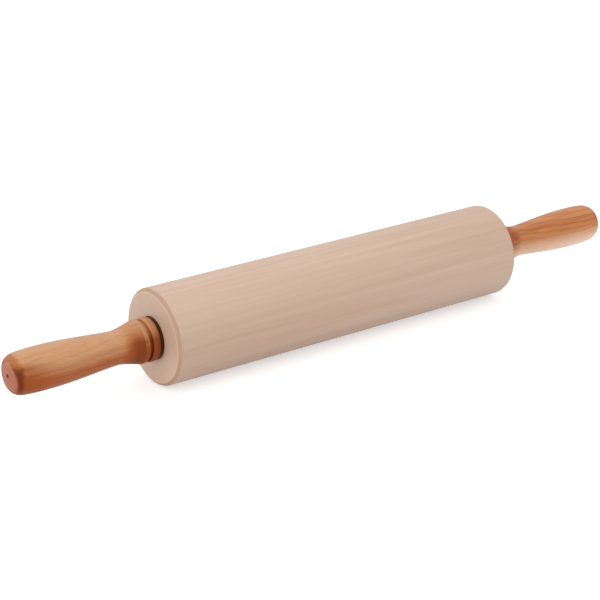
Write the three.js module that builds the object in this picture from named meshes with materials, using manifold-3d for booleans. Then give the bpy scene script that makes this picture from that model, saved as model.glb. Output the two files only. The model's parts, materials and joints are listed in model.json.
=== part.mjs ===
// A rolling pin whose hardwood barrel turns on two sealed ball bearings. The bearings run on a steel
// axle, and a turned handle is screwed onto each end of it. Lengths are in millimetres.
// The axle lies along X, the barrel's middle is at the origin, and +Z is up. The left end is at -X.
// Each end is built once, for the right, and turned half round Z for the left.
import * as THREE from 'three';
import { mergeVertices } from 'three/addons/utils/BufferGeometryUtils.js';
import Module from 'manifold-3d';

const wasm = await Module();
wasm.setup();

// Barrel
const barrelLength = 305;
const barrelDiameter = 70;
const barrelEdgeRadius = 3.2;
const barrelSides = 48;
const edgeSteps = 4;

// Clearances: between fixed neighbours, between pieces that turn past each other, and round the axle
const seatGap = 0.1;
const runningGap = 0.3;
const boreClearance = 1.5;

// Axle: a round bar with a thread and a plain, thinner pilot at each end
const axleDiameter = 10;
const pilotStep = 0.9;
const pilotLength = 40;
const threadRunout = 2;
const barEndChamfer = 0.8;
const axleSides = 24;

// Ball bearing: its bore is the axle's diameter. The wall behind each ball makes it 30 across.
const ballDiameter = 4.76;
const ballCount = 8;
const raceWall = 2.62;
const raceConformity = 0.28;
const raceShoulderHeight = 1;
const raceChamfer = 0.6;
const bearingRecess = 1;
const raceSides = 24;
const grooveSteps = 4;
const ballSides = 10;
const ballRings = 6;

// Seals, let into the outer race on both sides of the balls
const sealThickness = 0.8;
const sealInset = 0.3;
const sealSeatDepth = 1.8;

// Cage: a ring with a pocket for each ball, open towards the barrel's middle
const cageRaceGap = 0.38;
const cageSealGap = 0.32;
const cageBackWall = 0.4;
const cageFingerReach = 1.2;
const pocketClearance = 0.3;
const pocketSides = 10;
const pocketRings = 6;

// Counterbores in the barrel's ends
const seatMouthChamfer = 0.5;
const clipRoomClearance = 0.8;

// Retaining ring, in a groove of the axle, behind each inner race
const clipThickness = 1;
const clipGrooveDepth = 0.4;
const clipWidth = 2;
const clipLugDiameter = 3.6;
const clipHoleDiameter = 1.4;
const clipOpeningDegrees = 50;
const clipSteps = 10;
const clipLugSides = 10;

// Spacer and washer between the inner race and the handle
const spacerWall = 1.9;
const spacerChamfer = 0.4;
const washerWidth = 6.4;
const washerThickness = 1.2;
const hardwareSides = 20;

// Threaded insert, pressed into the handle
const insertLength = 16;
const insertWall = 2.4;
const insertFlangeHeight = 2;
const insertFlangeThickness = 1.5;
const insertBarbDepth = 0.6;
const insertBarbs = 3;
const barbNeckShare = 0.3;

// Handle: bead, groove and lip at the barrel's end, then a waist, a swelling grip and a rounded end
const handleGap = 2.4;
const handleLength = 109.3;
const handleSides = 28;
const beadDiameter = 32;
const beadWidth = 6;
const beadRoundHeight = 1.8;
const beadSteps = 5;
const grooveDepth = 1.9;
const grooveWidth = 1.8;
const lipDiameter = 31.4;
const lipRise = 1.8;
const lipSteps = 3;
const waistDiameter = 24.2;
const waistFromEnd = 28.6;
const gripDiameter = 30.8;
const gripFromTip = 26.7;
const endShoulderDiameter = 29.8;
const endCornerLength = 8.5;
const endCornerHeight = 5.5;
const endDomeHeight = 0.5;
const cornerSteps = 5;
const centreMarkDiameter = 2.8;
const centreMarkDepth = 3;

// Outline of the cove from the lip down to the waist, of the grip from the waist up to its widest
// place, and on to the shoulder of its rounded end. Each point is a share of the length, then a share
// of the change in radius.
const coveShares = [[0.13, 0.06], [0.32, 0.31], [0.53, 0.57], [0.74, 0.82], [0.9, 0.96]];
const gripShares = [[0.09, 0.05], [0.19, 0.17], [0.34, 0.41], [0.54, 0.68], [0.75, 0.86], [0.87, 0.95]];
const shoulderShares = [[0.5, 0.22]];

// Values that follow from the sizes above
const axleRadius = axleDiameter / 2;
const barrelHalf = barrelLength / 2;
const barrelRadius = barrelDiameter / 2;
const ballRadius = ballDiameter / 2;
const pitchRadius = axleRadius + raceWall + ballRadius;
const bearingRadius = pitchRadius + ballRadius + raceWall;
const raceGrooveRadius = ballRadius + raceConformity;
const innerShoulder = pitchRadius - ballRadius + raceShoulderHeight;
const outerShoulder = pitchRadius + ballRadius - raceShoulderHeight;
const pocketRadius = ballRadius + pocketClearance;
const sealDepth = sealInset + sealThickness;
const bearingHalfWidth = pocketRadius + cageBackWall + cageSealGap + sealDepth;
const bearingOutside = barrelHalf - bearingRecess;
const bearingMiddle = bearingOutside - bearingHalfWidth;
const bearingInside = bearingMiddle - bearingHalfWidth;
const clipOutside = bearingInside - seatGap;
const clipInside = clipOutside - clipThickness;
const clipInnerRadius = axleRadius - clipGrooveDepth + seatGap;
const clipOuterRadius = clipInnerRadius + clipWidth;
const clipRoomRadius = clipInnerRadius + Math.max(clipWidth, clipLugDiameter) + clipRoomClearance;
const clipRoomEnd = clipInside - clipRoomClearance;
const boreRadius = axleRadius + boreClearance;
const handleStart = barrelHalf + handleGap;
const washerStart = handleStart - seatGap - washerThickness;
const spacerStart = bearingOutside + seatGap;
const spacerEnd = washerStart - seatGap;
const slidingRadius = axleRadius + seatGap;
const pilotRadius = axleRadius - pilotStep;
const insertRadius = slidingRadius + insertWall;
const insertFlangeRadius = insertRadius + insertFlangeHeight;
const insertEnd = handleStart + insertLength;
const threadEnd = insertEnd + threadRunout;
const pilotEnd = threadEnd + pilotLength;
const tip = handleStart + handleLength;

const quarterTurn = Math.PI / 2;

// Maple, stained hardwood, steel, nylon, rubber and brass
const maple = { color: 0xd8bfa4, roughness: 0.62, metalness: 0 };
const stainedWood = { color: 0xb5713f, roughness: 0.38, metalness: 0 };
const brightSteel = { color: 0xb9bcc0, roughness: 0.28, metalness: 1 };
const blackRubber = { color: 0x17130f, roughness: 0.6, metalness: 0 };
const paleNylon = { color: 0xd9cda8, roughness: 0.5, metalness: 0 };
const brass = { color: 0xb8944a, roughness: 0.35, metalness: 1 };

// A solid turned about X from an outline of [place along X, radius] pairs that runs outwards first
function turned(outline, sides) {
  const points = outline.map(([place, radius]) => new THREE.Vector2(radius, place));
  const geometry = new THREE.LatheGeometry(points, sides, Math.PI / sides);
  geometry.rotateZ(-quarterTurn);
  return geometry;
}

// A turned ring: the outline closes on itself
function turnedRing(outline, sides) {
  return turned([...outline, outline[0]], sides);
}

// Points of an elliptical arc, with angles counted from +X towards a larger radius
function arc(place, radius, length, height, from, to, steps) {
  return Array.from({ length: steps + 1 }, (_, i) => {
    const angle = from + ((to - from) * i) / steps;
    return [place + length * Math.cos(angle), radius + height * Math.sin(angle)];
  });
}

// A closed geometry as a solid for joining and cutting
function solidOf(geometry) {
  const bare = geometry.clone();
  bare.deleteAttribute('normal');
  bare.deleteAttribute('uv');
  const merged = mergeVertices(bare);
  return new wasm.Manifold(new wasm.Mesh({
    numProp: 3,
    vertProperties: merged.attributes.position.array,
    triVerts: new Uint32Array(merged.index.array),
  }));
}

// A solid back as a geometry with flat faces
function geometryOf(solid) {
  const mesh = solid.getMesh();
  const geometry = new THREE.BufferGeometry();
  geometry.setAttribute('position', new THREE.BufferAttribute(mesh.vertProperties, 3));
  geometry.setIndex(new THREE.BufferAttribute(mesh.triVerts, 1));
  const flat = geometry.toNonIndexed();
  flat.computeVertexNormals();
  return flat;
}

function named(name, geometry, finish) {
  const mesh = new THREE.Mesh(geometry, new THREE.MeshStandardMaterial(finish));
  mesh.name = name;
  return mesh;
}

// The barrel's outside at its right end: the rounded edge, down to the end face
function barrelHalfOutside() {
  return arc(barrelHalf - barrelEdgeRadius, barrelRadius - barrelEdgeRadius, barrelEdgeRadius,
    barrelEdgeRadius, quarterTurn, 0, edgeSteps);
}

// The barrel's inside at its right end, from the end face in: the bearing's seat, the room for the
// retaining ring and the bore
function barrelHalfInside() {
  const seatRadius = bearingRadius + seatGap;
  return [
    [barrelHalf, seatRadius + seatMouthChamfer],
    [barrelHalf - seatMouthChamfer, seatRadius],
    [bearingInside - seatGap, seatRadius],
    [bearingInside - seatGap, clipRoomRadius],
    [clipRoomEnd, clipRoomRadius],
    [clipRoomEnd, boreRadius],
  ];
}

function barrelGeometry() {
  const right = [...barrelHalfOutside(), ...barrelHalfInside()];
  const left = right.map(([place, radius]) => [-place, radius]).reverse();
  return turnedRing([...right, ...left], barrelSides);
}

// Half of the axle's outline to the right: groove of the retaining ring, threaded stretch and pilot
function axleHalfOutline() {
  const grooveRadius = axleRadius - clipGrooveDepth;
  return [
    [clipInside - seatGap, axleRadius],
    [clipInside - seatGap, grooveRadius],
    [clipOutside + seatGap, grooveRadius],
    [clipOutside + seatGap, axleRadius],
    [insertEnd, axleRadius],
    [insertEnd + barEndChamfer, pilotRadius],
    [pilotEnd - barEndChamfer, pilotRadius],
    [pilotEnd, pilotRadius - barEndChamfer],
    [pilotEnd, 0],
  ];
}

function axleGeometry() {
  const right = axleHalfOutline();
  const left = right.map(([place, radius]) => [-place, radius]).reverse();
  return turned([...left, ...right], axleSides);
}

// A race's ball groove: the arc between its two shoulders, from the inboard one to the outboard one
function grooveArc(shoulder, from, to) {
  return arc(bearingMiddle, pitchRadius, raceGrooveRadius, raceGrooveRadius, from, to, grooveSteps)
    .map(([place, radius], i, all) => [place, i === 0 || i === all.length - 1 ? shoulder : radius]);
}

function innerRaceGeometry() {
  const reach = Math.asin((pitchRadius - innerShoulder) / raceGrooveRadius);
  return turnedRing([
    [bearingInside, slidingRadius],
    [bearingInside, innerShoulder],
    ...grooveArc(innerShoulder, Math.PI + reach, 2 * Math.PI - reach),
    [bearingOutside, innerShoulder],
    [bearingOutside, slidingRadius],
  ], raceSides);
}

function outerRaceGeometry() {
  const sealSeat = bearingRadius - sealSeatDepth;
  const ledge = sealDepth + seatGap;
  const reach = Math.asin((outerShoulder - pitchRadius) / raceGrooveRadius);
  return turnedRing([
    [bearingInside, sealSeat],
    [bearingInside, bearingRadius - raceChamfer],
    [bearingInside + raceChamfer, bearingRadius],
    [bearingOutside - raceChamfer, bearingRadius],
    [bearingOutside, bearingRadius - raceChamfer],
    [bearingOutside, sealSeat],
    [bearingOutside - ledge, sealSeat],
    [bearingOutside - ledge, outerShoulder],
    ...grooveArc(outerShoulder, reach, Math.PI - reach),
    [bearingInside + ledge, outerShoulder],
    [bearingInside + ledge, sealSeat],
  ], raceSides);
}

// A flat seal, whose outboard face is at the given place
function sealGeometry(face) {
  const outside = bearingRadius - sealSeatDepth - seatGap;
  const inside = innerShoulder + runningGap;
  return turnedRing([
    [face - sealThickness, inside],
    [face - sealThickness, outside],
    [face, outside],
    [face, inside],
  ], raceSides);
}

function ballPlace(index) {
  const angle = (2 * Math.PI * (index + 1 / 2)) / ballCount;
  return new THREE.Vector3(bearingMiddle, pitchRadius * Math.cos(angle), pitchRadius * Math.sin(angle));
}

function cageGeometry() {
  const back = bearingMiddle + pocketRadius + cageBackWall;
  const front = bearingMiddle - cageFingerReach;
  const inside = innerShoulder + cageRaceGap;
  const outside = outerShoulder - cageRaceGap;
  let cage = solidOf(turnedRing([[front, inside], [front, outside], [back, outside], [back, inside]],
    raceSides));
  for (let i = 0; i < ballCount; i++) {
    const pocket = new THREE.SphereGeometry(pocketRadius, pocketSides, pocketRings);
    const place = ballPlace(i);
    pocket.translate(place.x, place.y, place.z);
    cage = cage.subtract(solidOf(pocket));
  }
  return geometryOf(cage);
}

// The retaining ring: an open ring with a drilled lug on each side of its opening
function clipGeometry() {
  const half = THREE.MathUtils.degToRad(clipOpeningDegrees) / 2;
  const outline = new THREE.Shape();
  outline.absarc(0, 0, clipOuterRadius, half, 2 * Math.PI - half, false);
  outline.absarc(0, 0, clipInnerRadius, 2 * Math.PI - half, half, true);
  outline.closePath();
  const flat = { depth: clipThickness, bevelEnabled: false, curveSegments: clipSteps };
  let clip = solidOf(new THREE.ExtrudeGeometry(outline, flat));
  const lugRadius = clipLugDiameter / 2;
  const lugPlace = clipInnerRadius + lugRadius;
  for (const angle of [half, -half]) {
    const lug = new THREE.CylinderGeometry(lugRadius, lugRadius, clipThickness, clipLugSides);
    const hole = new THREE.CylinderGeometry(clipHoleDiameter / 2, clipHoleDiameter / 2,
      2 * clipThickness, clipLugSides);
    for (const round of [lug, hole]) {
      round.rotateX(quarterTurn);
      round.translate(lugPlace * Math.cos(angle), lugPlace * Math.sin(angle), clipThickness / 2);
    }
    clip = clip.add(solidOf(lug)).subtract(solidOf(hole));
  }
  const geometry = geometryOf(clip);
  geometry.rotateY(quarterTurn);
  geometry.translate(clipInside, 0, 0);
  return geometry;
}

function spacerGeometry() {
  const outside = slidingRadius + spacerWall;
  return turnedRing([
    [spacerStart, slidingRadius],
    [spacerStart, outside - spacerChamfer],
    [spacerStart + spacerChamfer, outside],
    [spacerEnd - spacerChamfer, outside],
    [spacerEnd, outside - spacerChamfer],
    [spacerEnd, slidingRadius],
  ], hardwareSides);
}

function washerGeometry() {
  const outside = slidingRadius + washerWidth;
  const washerEnd = washerStart + washerThickness;
  return turnedRing([
    [washerStart, slidingRadius],
    [washerStart, outside],
    [washerEnd, outside],
    [washerEnd, slidingRadius],
  ], hardwareSides);
}

// The insert: a flange at the handle's end face and a row of barbs that hold in the wood
function insertGeometry() {
  const root = insertRadius - insertBarbDepth;
  const flangeEnd = handleStart + insertFlangeThickness;
  const pitch = (insertEnd - flangeEnd) / insertBarbs;
  const barbs = Array.from({ length: insertBarbs }, (_, i) => [
    [flangeEnd + pitch * (i + barbNeckShare), root],
    [flangeEnd + pitch * (i + barbNeckShare), insertRadius],
    [flangeEnd + pitch * (i + 1), root],
  ]).flat();
  return turnedRing([
    [handleStart, slidingRadius],
    [handleStart, insertFlangeRadius],
    [flangeEnd, insertFlangeRadius],
    [flangeEnd, root],
    ...barbs,
    [insertEnd, slidingRadius],
  ], hardwareSides);
}

// Points between two places of an outline, given as shares of the way along and of the way up
function between([place0, radius0], [place1, radius1], shares) {
  return shares.map(([along, up]) => [
    place0 + (place1 - place0) * along,
    radius0 + (radius1 - radius0) * up,
  ]);
}

// The handle's outside, from the rim of its inner face to its tip
function handleOutside() {
  const beadEnd = handleStart + beadWidth;
  const lipStart = beadEnd + grooveWidth;
  const lipTop = [lipStart + lipRise, lipDiameter / 2];
  const waist = [handleStart + waistFromEnd, waistDiameter / 2];
  const grip = [tip - gripFromTip, gripDiameter / 2];
  const cornerStart = tip - endDomeHeight - endCornerLength;
  const shoulder = [cornerStart, endShoulderDiameter / 2];
  const beadRadius = beadDiameter / 2;
  const grooveRadius = beadRadius - grooveDepth;
  const bead = arc((handleStart + beadEnd) / 2, beadRadius - beadRoundHeight, beadWidth / 2,
    beadRoundHeight, Math.PI, 0, beadSteps);
  const lip = arc(lipTop[0], grooveRadius, lipRise, lipTop[1] - grooveRadius, Math.PI, quarterTurn,
    lipSteps);
  const corner = arc(cornerStart, shoulder[1] - endCornerHeight, endCornerLength, endCornerHeight,
    quarterTurn, 0, cornerSteps);
  return [
    ...bead,
    [beadEnd, grooveRadius],
    ...lip,
    ...between(lipTop, waist, coveShares),
    waist,
    ...between(waist, grip, gripShares),
    grip,
    ...between(grip, shoulder, shoulderShares),
    ...corner,
  ];
}

function handleGeometry() {
  const pilotBore = pilotRadius + seatGap;
  const insertBore = insertRadius + seatGap;
  const flangeBore = insertFlangeRadius + seatGap;
  const flangeFloor = handleStart + insertFlangeThickness + seatGap;
  const markRadius = centreMarkDiameter / 2;
  return turned([
    [pilotEnd + seatGap, 0],
    [pilotEnd + seatGap, pilotBore],
    [threadEnd, pilotBore],
    [threadEnd, insertBore],
    [flangeFloor, insertBore],
    [flangeFloor, flangeBore],
    [handleStart, flangeBore],
    ...handleOutside(),
    [tip, markRadius],
    [tip - centreMarkDepth, 0],
  ], handleSides);
}

// Everything at one end of the pin, built at the right
function endParts(side) {
  const outboardSeal = bearingOutside - sealInset;
  const inboardSeal = bearingInside + sealDepth;
  const end = new THREE.Group();
  end.add(
    named(`${side}_handle`, handleGeometry(), stainedWood),
    named(`${side}_threaded_insert`, insertGeometry(), brass),
    named(`${side}_washer`, washerGeometry(), brightSteel),
    named(`${side}_spacer`, spacerGeometry(), brightSteel),
    named(`${side}_retaining_ring`, clipGeometry(), brightSteel),
    named(`${side}_inner_race`, innerRaceGeometry(), brightSteel),
    named(`${side}_outer_race`, outerRaceGeometry(), brightSteel),
    named(`${side}_ball_cage`, cageGeometry(), paleNylon),
    named(`${side}_outboard_seal`, sealGeometry(outboardSeal), blackRubber),
    named(`${side}_inboard_seal`, sealGeometry(inboardSeal), blackRubber),
  );
  for (let i = 0; i < ballCount; i++) {
    const geometry = new THREE.SphereGeometry(ballRadius, ballSides, ballRings);
    const ball = named(`${side}_ball_${i + 1}`, geometry, brightSteel);
    ball.position.copy(ballPlace(i));
    end.add(ball);
  }
  return end;
}

const rollingPin = new THREE.Group();
rollingPin.add(
  named('barrel', barrelGeometry(), maple),
  named('axle', axleGeometry(), brightSteel),
);
for (const side of ['left', 'right']) {
  const end = endParts(side);
  end.rotation.z = side === 'left' ? Math.PI : 0;
  rollingPin.add(end);
}

export default rollingPin;
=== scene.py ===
import json
import math

import bmesh
import bpy
from bpy.props import FloatProperty, FloatVectorProperty, IntProperty, PointerProperty
from bpy.types import Operator, Panel, PropertyGroup
from mathutils import Matrix, Vector
from mathutils.geometry import interpolate_bezier


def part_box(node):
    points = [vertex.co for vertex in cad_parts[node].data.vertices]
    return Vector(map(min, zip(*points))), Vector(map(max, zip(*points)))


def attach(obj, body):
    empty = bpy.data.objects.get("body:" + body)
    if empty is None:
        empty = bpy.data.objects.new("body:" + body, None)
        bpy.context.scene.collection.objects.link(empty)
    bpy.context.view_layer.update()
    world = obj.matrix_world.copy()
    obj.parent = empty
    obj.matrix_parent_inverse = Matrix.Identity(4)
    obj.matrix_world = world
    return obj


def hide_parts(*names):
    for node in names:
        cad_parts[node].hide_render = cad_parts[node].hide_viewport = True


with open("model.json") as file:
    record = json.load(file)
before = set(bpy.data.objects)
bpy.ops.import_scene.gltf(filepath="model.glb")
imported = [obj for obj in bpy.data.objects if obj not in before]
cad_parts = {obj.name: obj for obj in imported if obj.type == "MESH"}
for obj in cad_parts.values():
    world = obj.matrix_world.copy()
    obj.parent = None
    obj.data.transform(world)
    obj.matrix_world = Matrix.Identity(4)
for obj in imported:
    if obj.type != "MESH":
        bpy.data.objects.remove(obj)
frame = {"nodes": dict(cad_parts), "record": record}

bl_info = {
    "name": "Rolling Pin",
    "version": (1, 0, 0),
    "blender": (4, 5, 0),
    "location": "View3D > Sidebar > Rolling Pin",
    "description": "Models a rolling pin with a ball-bearing barrel and turned handles",
    "category": "Add Mesh",
}

# The pin lies along X and its middle is the origin. Each end is modelled at the right, at +X, and a
# copy turned half round Z is the left one. An outline is a list of (place along X, radius) points.
MM = 0.001
HALF_TURN = Matrix.Rotation(math.pi, 3, "Z")
QUARTER = math.pi / 2
SIDES = ("left", "right")
WELD = 1e-7
FIT = 0.1 * MM
SMOOTH_BELOW = math.radians(32.0)
LUG_STEPS = 24
CLIP_STEPS = 60
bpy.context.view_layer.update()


def reach(node):
    """A CAD node's largest radius about the axle, in metres."""
    return max(math.hypot(v.co.y, v.co.z) for v in frame["nodes"][node].data.vertices)


def bore(node):
    """A CAD node's smallest radius about the axle, in metres."""
    return min(math.hypot(v.co.y, v.co.z) for v in frame["nodes"][node].data.vertices)


def start_of(node):
    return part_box(node)[0].x


def end_of(node):
    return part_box(node)[1].x


def bearing_middle():
    """The middle of the right bearing along the axle."""
    return (start_of("right_inner_race") + end_of("right_inner_race")) / 2


def size(name, description, default):
    return FloatProperty(name=name, description=description, default=default, min=0.0,
                         subtype="DISTANCE", unit="LENGTH", precision=5)


def angle(name, description, default):
    return FloatProperty(name=name, description=description, default=math.radians(default),
                         subtype="ANGLE", unit="ROTATION")


def count(name, description, default):
    return IntProperty(name=name, description=description, default=default, min=3)


def level(name, description, default):
    return FloatProperty(name=name, description=description, default=default, min=0.0)


def tint(name, description, default):
    return FloatVectorProperty(name=name, description=description, default=default, size=3,
                               subtype="COLOR", min=0.0, max=1.0)


def spot(name, description, default):
    return FloatVectorProperty(name=name, description=description, default=default, size=3,
                               subtype="TRANSLATION", unit="LENGTH")


class BarrelSizes(PropertyGroup):
    length: size("Length", "From end face to end face", 2 * end_of("barrel"))
    diameter: size("Diameter", "Outside diameter", 2 * reach("barrel"))
    edge_radius: size("Edge radius", "Rounding of each end's rim", 3.2 * MM)
    seat_radius: size("Seat radius", "Radius of the bearing's seat", reach("right_outer_race") + FIT)
    seat_chamfer: size("Seat chamfer", "Chamfer at the mouth of the bearing's seat", 0.5 * MM)
    bore_radius: size("Bore radius", "Radius of the bore round the axle", bore("barrel"))
    clip_room_radius: size("Clip room radius", "Radius of the room for the retaining ring", 9.1 * MM)
    clip_room_depth: size("Clip room depth", "Length of the room for the retaining ring", 1.8 * MM)
    sides: count("Sides", "Steps round the axle", 224)
    pale: tint("Pale wood", "Early wood of the barrel", (0.55, 0.382, 0.280))
    deep: tint("Deep wood", "Late wood of the barrel", (0.455, 0.296, 0.202))
    # End-grain colours for the end face's top and bottom: painted shade at the top, painted light low
    # down.
    end_top_shade: tint("Heart end grain", "End grain nearer the heart", (0.456, 0.311, 0.228))
    end_low_light: tint("Sap end grain", "End grain nearer the bark", (0.613, 0.418, 0.306))
    # A painted highlight along the edge of the end face.
    rim_highlight: tint("Worn wood", "Bright line where the end face meets the rounded rim", (0.64, 0.42, 0.29))
    rim: tint("Rim wood", "Open grain of the rounded rim", (0.40, 0.228, 0.143))
    pore: tint("Pores", "Short dark pores in the grain", (0.28, 0.16, 0.10))


class HandleSizes(PropertyGroup):
    start: size("Start", "Place of the handle's inner face along the axle",
                start_of("right_handle"))
    length: size("Length", "From the inner face to the tip",
                 end_of("right_handle") - start_of("right_handle"))
    bead_diameter: size("Bead diameter", "Largest diameter of the bead", 2 * reach("right_handle"))
    bead_width: size("Bead width", "Width of the bead", 6.0 * MM)
    bead_round_height: size("Bead rounding", "How far the bead is rounded down at its sides", 1.0 * MM)
    groove_depth: size("Groove depth", "Depth of the groove below the bead", 1.9 * MM)
    groove_width: size("Groove width", "Width of the groove's floor", 1.8 * MM)
    lip_diameter: size("Lip diameter", "Largest diameter of the lip", 31.4 * MM)
    lip_rise: size("Lip rise", "Length over which the lip rises from the groove", 1.8 * MM)
    lip_width: size("Lip width", "Width of the lip's level crest", 2.1 * MM)
    lip_step: size("Lip step", "Step from the lip down to the cove", 0.25 * MM)
    waist_diameter: size("Waist diameter", "Diameter of the waist", 24.2 * MM)
    waist_from_end: size("Waist place", "From the inner face to the waist", 28.6 * MM)
    grip_diameter: size("Grip diameter", "Largest diameter of the grip", 30.8 * MM)
    grip_from_tip: size("Grip place", "From the tip to the grip's widest place", 26.7 * MM)
    shoulder_diameter: size("Shoulder diameter", "Diameter where the rounded end starts", 29.8 * MM)
    corner_length: size("Corner length", "Length of the rounded end", 8.5 * MM)
    corner_height: size("Corner height", "How far the rounded end drops", 5.5 * MM)
    dome_height: size("Dome height", "Crown of the end face", 0.5 * MM)
    mark_diameter: size("Centre mark diameter", "Hole left by the lathe's centre", 2.8 * MM)
    mark_depth: size("Centre mark depth", "Depth of that hole", 3.0 * MM)
    sides: count("Sides", "Steps round the axle", 160)
    pale_left: tint("Left pale stain", "Early wood of the left handle", (0.528, 0.278, 0.119))
    pale_right: tint("Right pale stain", "Early wood of the right handle", (0.552, 0.216, 0.056))
    deep: tint("Deep stain", "Late wood of the stained handles", (0.350, 0.085, 0.017))
    # The colour of the painted shade in the hollows, at the tip's corner and in the centre mark, and of
    # the pores.
    dark: tint("Dark stain", "Where the stain gathers", (0.125, 0.018, 0.002))
    end_grain: tint("End grain", "Stained end grain at the tip", (0.366, 0.128, 0.078))
    # A painted floor reflection, paler low down on the right handle.
    painted_floor_reflection: tint("Sapwood", "Paler wood along one side of the right handle", (0.86, 0.58, 0.42))


class AxleSizes(PropertyGroup):
    radius: size("Radius", "Radius of the plain bar", 5.0 * MM)
    groove_depth: size("Groove depth", "Depth of the retaining rings' grooves", 0.4 * MM)
    pilot_radius: size("Pilot radius", "Radius of the thinner ends", 4.1 * MM)
    chamfer: size("Chamfer", "Chamfer at the ends", 0.8 * MM)
    sides: count("Sides", "Steps round the bar", 96)
    steel: tint("Steel", "Colour of the ground bar", (0.56, 0.57, 0.585))


class BearingSizes(PropertyGroup):
    ball_radius: size("Ball radius", "Radius of each ball", 2.38 * MM)
    pitch_radius: size("Pitch radius", "From the axle's middle to each ball's", 10.0 * MM)
    ball_count: count("Balls", "Number of balls in each bearing", 8)
    bore_radius: size("Bore radius", "Inside radius of the inner race", 5.1 * MM)
    inner_shoulder: size("Inner shoulder", "Outside radius of the inner race", 8.62 * MM)
    outer_shoulder: size("Outer shoulder", "Inside radius of the outer race", 11.38 * MM)
    outside_radius: size("Outside radius", "Outside radius of the outer race", 15.0 * MM)
    groove_radius: size("Groove radius", "Radius of the races' ball grooves", 2.66 * MM)
    chamfer: size("Chamfer", "Rounding of the races' corners", 0.6 * MM)
    seal_seat: size("Seal seat", "Inside radius of the seals' seats", 13.2 * MM)
    seal_ledge: size("Seal ledge", "Depth of the seals' seats", 1.2 * MM)
    seal_radius: size("Seal radius", "Outside radius of a seal", 13.1 * MM)
    seal_lip: size("Seal lip", "Inside radius of a seal", 8.92 * MM)
    cage_inside: size("Cage inside", "Inside radius of the cage", 9.0 * MM)
    cage_outside: size("Cage outside", "Outside radius of the cage", 11.0 * MM)
    pocket_radius: size("Pocket radius", "Radius of the cage's pockets", 2.68 * MM)
    sides: count("Sides", "Steps round a race", 128)
    # The races' and seals' dark red-brown is partly painted shade and painted bounce light from the
    # handles in the gap by the bead.
    race: tint("Race", "Colour of the browned races", (0.21, 0.085, 0.042))
    steel: tint("Ball steel", "Colour of the polished balls", (0.60, 0.605, 0.62))
    rubber: tint("Rubber", "Colour of the seals", (0.250, 0.082, 0.036))
    nylon: tint("Nylon", "Colour of the cages", (0.70, 0.62, 0.44))


class HardwareSizes(PropertyGroup):
    bore_radius: size("Bore radius", "Radius of the bores round the axle", 5.1 * MM)
    spacer_radius: size("Spacer radius", "Outside radius of the spacers", 7.0 * MM)
    spacer_chamfer: size("Spacer chamfer", "Chamfer of the spacers' outside corners", 0.4 * MM)
    washer_radius: size("Washer radius", "Outside radius of the washers", 11.5 * MM)
    insert_radius: size("Insert radius", "Outside radius of the inserts' barbs", 7.5 * MM)
    insert_root: size("Insert root", "Radius between the inserts' barbs", 6.9 * MM)
    insert_barbs: count("Insert barbs", "Number of barbs on an insert", 3)
    flange_radius: size("Flange radius", "Radius of the inserts' flanges", 9.5 * MM)
    flange_thickness: size("Flange thickness", "Thickness of the inserts' flanges", 1.5 * MM)
    clip_inside: size("Ring inside", "Inside radius of the retaining rings", 4.7 * MM)
    clip_width: size("Ring width", "Width of the retaining rings", 2.0 * MM)
    lug_radius: size("Lug radius", "Radius of the retaining rings' lugs", 1.8 * MM)
    lug_hole_radius: size("Lug hole radius", "Radius of the holes for the pliers", 0.7 * MM)
    clip_opening: angle("Ring opening", "Angle between the lugs of a retaining ring", 50.0)
    sides: count("Sides", "Steps round a spacer, washer or insert", 96)
    brass: tint("Brass", "Colour of the inserts", (0.74, 0.52, 0.22))
    spring_steel: tint("Spring steel", "Colour of the retaining rings", (0.10, 0.095, 0.09))


class StageSettings(PropertyGroup):
    azimuth: angle("Camera azimuth", "Turn of the camera about Z; 0 looks along +Y", -35.889)
    elevation: angle("Camera elevation", "Height of the camera above the horizon", 21.688)
    distance: size("Camera distance", "From the camera to the barrel's middle", 1347.93 * MM)
    aim_left: size("Aim left", "How far left of the barrel's middle the camera points", 21.672 * MM)
    aim_down: size("Aim down", "How far below the barrel's middle the camera points", 7.019 * MM)
    lens: level("Lens", "Focal length for a 36 mm sensor, in millimetres", 109.78)
    floor_width: size("Floor width", "Width of the square floor", 12.0)
    floor_tone: tint("Floor tone", "Colour of the floor", (0.72, 0.72, 0.72))
    floor_glow: level("Floor glow", "White added to the floor where the camera sees it", 0.5)
    key_place: spot("Key place", "Place of the lamp overhead", (-0.1, 0.45, 1.0))
    key_width: size("Key width", "Width of the lamp overhead", 1.4)
    key_depth: size("Key depth", "Depth of the lamp overhead", 0.8)
    key_power: level("Key power", "Power of the lamp overhead, in watts", 0.9)
    fill_place: spot("Fill place", "Place of the lamp off the pin's left end", (-1.3, -0.35, 0.25))
    fill_width: size("Fill width", "Width and height of that lamp", 1.0)
    fill_power: level("Fill power", "Power of that lamp, in watts", 4.2)
    world_level: level("World level", "Light from all round", 1.12)
    low_level: level("Low level", "Shine from the horizon, as a share", 0.6)
    high_level: level("High level", "Shine from overhead, as a share", 1.4)
    camera_side: level("Camera side", "Shine of the camera's side, as a share of the rest", 0.2)
    camera_side_from: angle("Camera side from", "Angle from the camera where the rise starts", 15.0)
    camera_side_to: angle("Camera side to", "Angle from the camera where the rise ends", 45.0)


def settings(context):
    return context.scene.rolling_pin


def arc(centre, radii, start, end, steps):
    """Points of an elliptical arc; the angles go from +X towards a larger radius."""
    angles = [start + (end - start) * i / steps for i in range(steps + 1)]
    return [(centre[0] + radii[0] * math.cos(a), centre[1] + radii[1] * math.sin(a)) for a in angles]


def bezier(start, start_handle, end_handle, end, steps):
    """Points of a curve between two places of an outline, without the first."""
    knots = [Vector((*point, 0.0)) for point in (start, start_handle, end_handle, end)]
    return [(p.x, p.y) for p in interpolate_bezier(*knots, steps + 1)[1:]]


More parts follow.
